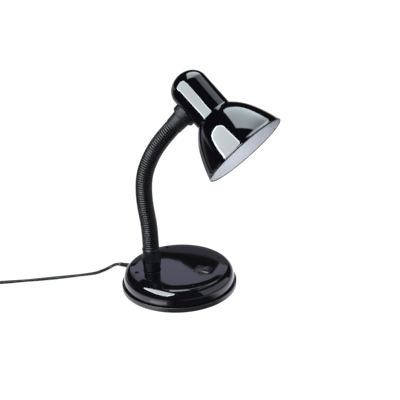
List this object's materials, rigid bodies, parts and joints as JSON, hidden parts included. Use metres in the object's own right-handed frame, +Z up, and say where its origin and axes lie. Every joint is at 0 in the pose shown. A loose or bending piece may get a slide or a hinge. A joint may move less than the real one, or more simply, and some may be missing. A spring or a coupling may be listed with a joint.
{
  "type": "gooseneck desk lamp",
  "caption": "Desk lamp with a bell shade on a bendable ribbed neck, standing on a weighted round base with a rocker switch and a mains lead.",
  "frame": {"origin": "centre of the foot ring's underside, on the table", "axes": "+Z up, +X from the neck's foot towards the switch, +Y to the left of that"},
  "size_m": [0.3954, 0.2803, 0.2786],
  "materials": {
    "shell_black": "moulded ABS, mirror-like gloss black",
    "plate_dark": "satin dark grey moulded plastic",
    "foot_rubber": "grey-black rubber",
    "ballast_steel": "dull raw steel",
    "zinc_steel": "bright zinc-plated steel",
    "neck_black": "satin black flexible plastic with a soft sheen",
    "switch_black": "gloss black",
    "brass": "rolled brass",
    "shade_black": "gloss black enamel outside, white enamel inside",
    "holder_cream": "glazed off-white",
    "lead_grey": "grey-white insulation",
    "cord_black": "semi-matt black PVC",
    "bulb_glass": "inside-frosted white glass",
    "bulb_metal": "plain aluminium"
  },
  "bodies": {
    "base": {"base_shell": "shell_black", "bottom_plate": "plate_dark", "foot_ring": "foot_rubber", "ballast_disc": "ballast_steel", "plate_screws": "zinc_steel", "neck_collar": "neck_black", "sleeve_cuff": "neck_black", "base_fitting": "zinc_steel", "base_nut": "zinc_steel", "switch_housing": "switch_black", "switch_terminals": "brass", "cord_clamp": "plate_dark", "clamp_screws": "zinc_steel", "strain_relief": "cord_black", "base_leads": "lead_grey", "cord": "cord_black", "cord_coil": "cord_black", "cord_end": "cord_black", "cord_tie": "plate_dark", "plug_body": "cord_black", "plug_pins": "brass"},
    "rocker": {"switch_rocker": "switch_black"},
    "blade": {"contact_blade": "brass"},
    "neck_1": {"sleeve_1": "neck_black", "conduit_1": "zinc_steel", "leads_1": "lead_grey"},
    "neck_2": {"sleeve_2": "neck_black", "conduit_2": "zinc_steel", "leads_2": "lead_grey"},
    "neck_3": {"sleeve_3": "neck_black", "conduit_3": "zinc_steel", "leads_3": "lead_grey"},
    "neck_4": {"sleeve_4": "neck_black", "conduit_4": "zinc_steel", "leads_4": "lead_grey"},
    "neck_5": {"sleeve_5": "neck_black", "conduit_5": "zinc_steel", "leads_5": "lead_grey"},
    "neck_6": {"sleeve_6": "neck_black", "conduit_6": "zinc_steel", "leads_6": "lead_grey"},
    "neck_7": {"sleeve_7": "neck_black", "conduit_7": "zinc_steel", "leads_7": "lead_grey"},
    "head": {"sleeve_8": "neck_black", "conduit_8": "zinc_steel", "leads_8": "lead_grey", "neck_ferrule": "neck_black", "head_flange": "neck_black", "head_nipple": "brass", "head_nut": "brass", "lamp_shade": "shade_black", "holder_bracket": "zinc_steel", "lampholder": "holder_cream", "holder_screws": "zinc_steel", "screw_shell": "brass", "centre_contact": "brass", "head_leads": "lead_grey", "bulb_globe": "bulb_glass", "bulb_cap": "bulb_metal"}
  },
  "joints": [
    {"name": "neck_bend_1", "type": "hinge", "parent": "base", "child": "neck_1", "pos_m": [-0.041, 0, 0.0455], "axis": [-0.309, 0.9511, 0], "range_deg": [-12, 12]},
    {"name": "neck_sway_2", "type": "hinge", "parent": "neck_1", "child": "neck_2", "pos_m": [-0.04137, -0.00012, 0.06775], "axis": [0.9505, 0.3088, 0.0349], "range_deg": [-12, 12]},
    {"name": "neck_bend_3", "type": "hinge", "parent": "neck_2", "child": "neck_3", "pos_m": [-0.0433, -0.00075, 0.08989], "axis": [-0.309, 0.9511, 0], "range_deg": [-12, 12]},
    {"name": "neck_sway_4", "type": "hinge", "parent": "neck_3", "child": "neck_4", "pos_m": [-0.04542, -0.00144, 0.11202], "axis": [0.9498, 0.3086, 0.0523], "range_deg": [-12, 12]},
    {"name": "neck_bend_5", "type": "hinge", "parent": "neck_4", "child": "neck_5", "pos_m": [-0.04505, -0.00132, 0.13425], "axis": [-0.309, 0.9511, 0], "range_deg": [-12, 12]},
    {"name": "neck_sway_6", "type": "hinge", "parent": "neck_5", "child": "neck_6", "pos_m": [-0.0404, 0.0002, 0.15588], "axis": [0.8908, 0.2894, -0.3502], "range_deg": [-12, 12]},
    {"name": "neck_bend_7", "type": "hinge", "parent": "neck_6", "child": "neck_7", "pos_m": [-0.0313, 0.00315, 0.17594], "axis": [-0.309, 0.9511, 0], "range_deg": [-12, 12]},
    {"name": "neck_bend_8", "type": "hinge", "parent": "neck_7", "child": "head", "pos_m": [-0.01918, 0.00709, 0.19415], "axis": [-0.309, 0.9511, 0], "range_deg": [-12, 12]},
    {"name": "switch_press", "type": "hinge", "parent": "base", "child": "rocker", "pos_m": [0.036, 0, 0.0264], "axis": [0, 1, 0], "range_deg": [0, 24]},
    {"name": "contact_tip", "type": "hinge", "parent": "base", "child": "blade", "pos_m": [0.036, 0, 0.0182], "axis": [0, 1, 0], "range_deg": [-12, 0]}
  ],
  "couplings": [
    {"joint": "contact_tip", "follows": "switch_press", "ratio": -0.5}
  ]
}
